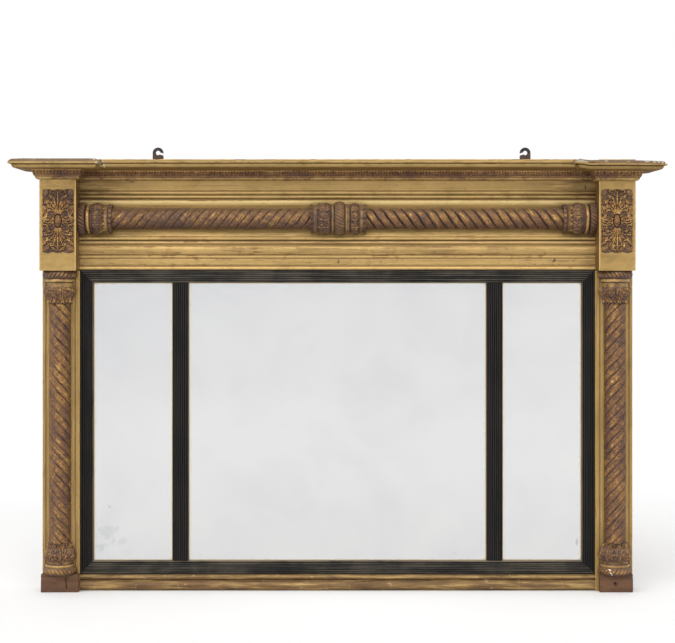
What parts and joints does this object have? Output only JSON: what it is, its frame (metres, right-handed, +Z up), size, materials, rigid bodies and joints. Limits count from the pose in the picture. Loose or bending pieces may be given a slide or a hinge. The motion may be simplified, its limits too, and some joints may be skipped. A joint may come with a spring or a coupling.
{
  "type": "overmantel mirror",
  "caption": "Wide overmantel mirror: three plates between ebonised reeded slips, rope-twist columns, leafy piers and a moulded breakfront cornice in worn giltwood.",
  "frame": {"origin": "middle of the width and of the depth, at the underside of the base blocks", "axes": "+Z up, the glass faces -Y, +X to the right seen from the front"},
  "size_m": [1.3476, 0.14, 0.9346],
  "materials": {
    "giltwood": "water-gilt gesso on pine, rubbed and toned",
    "gilt_compo": "bronze-brown gilt composition ornament, worn high points",
    "ebonised": "ebonised, satin",
    "pine": "old bare pine, sawn and planed",
    "bare_block": "bare stained pine",
    "mirror": "old silvered plate, foxed edges",
    "iron": "blackened wrought iron"
  },
  "bodies": {
    "root": {"stile_left": "pine", "stile_right": "pine", "head_rail": "pine", "bottom_rail": "pine", "muntin_left": "pine", "muntin_right": "pine", "dust_board": "pine", "pilaster_board_left": "giltwood", "pilaster_board_right": "giltwood", "pier_block_left": "giltwood", "pier_block_right": "giltwood", "pier_ornament_left": "gilt_compo", "pier_ornament_right": "gilt_compo", "column_left": "gilt_compo", "column_right": "gilt_compo", "capital_ring_left": "gilt_compo", "capital_ring_right": "gilt_compo", "capital_collar_left": "gilt_compo", "capital_collar_right": "gilt_compo", "base_collar_left": "gilt_compo", "base_collar_right": "gilt_compo", "base_ring_left": "gilt_compo", "base_ring_right": "gilt_compo", "base_block_left": "bare_block", "base_block_right": "bare_block", "frieze_upper_moulding": "giltwood", "frieze_hollow_board": "giltwood", "frieze_lower_moulding": "giltwood", "sight_bead": "giltwood", "frieze_column_left": "gilt_compo", "frieze_column_right": "gilt_compo", "frieze_end_collar_left": "gilt_compo", "frieze_end_collar_right": "gilt_compo", "frieze_centre_collar_left": "gilt_compo", "frieze_centre_collar_right": "gilt_compo", "frieze_centre_disc": "gilt_compo", "cornice_centre": "giltwood", "cornice_pier_left": "giltwood", "cornice_pier_right": "giltwood", "bed_mould_centre": "gilt_compo", "bed_mould_pier_left": "gilt_compo", "bed_mould_pier_right": "gilt_compo", "bottom_rail_moulding": "giltwood", "slip_top": "ebonised", "slip_bottom": "ebonised", "slip_left": "ebonised", "slip_right": "ebonised", "divider_left": "ebonised", "divider_right": "ebonised", "mirror_plate_left": "mirror", "mirror_plate_centre": "mirror", "mirror_plate_right": "mirror", "glazing_blocks": "pine", "backboard_left": "pine", "backboard_centre": "pine", "backboard_right": "pine", "backboard_nails": "iron", "hanging_plate_left": "iron", "hanging_plate_right": "iron", "hanging_plate_screws": "iron"}
  },
  "joints": []
}
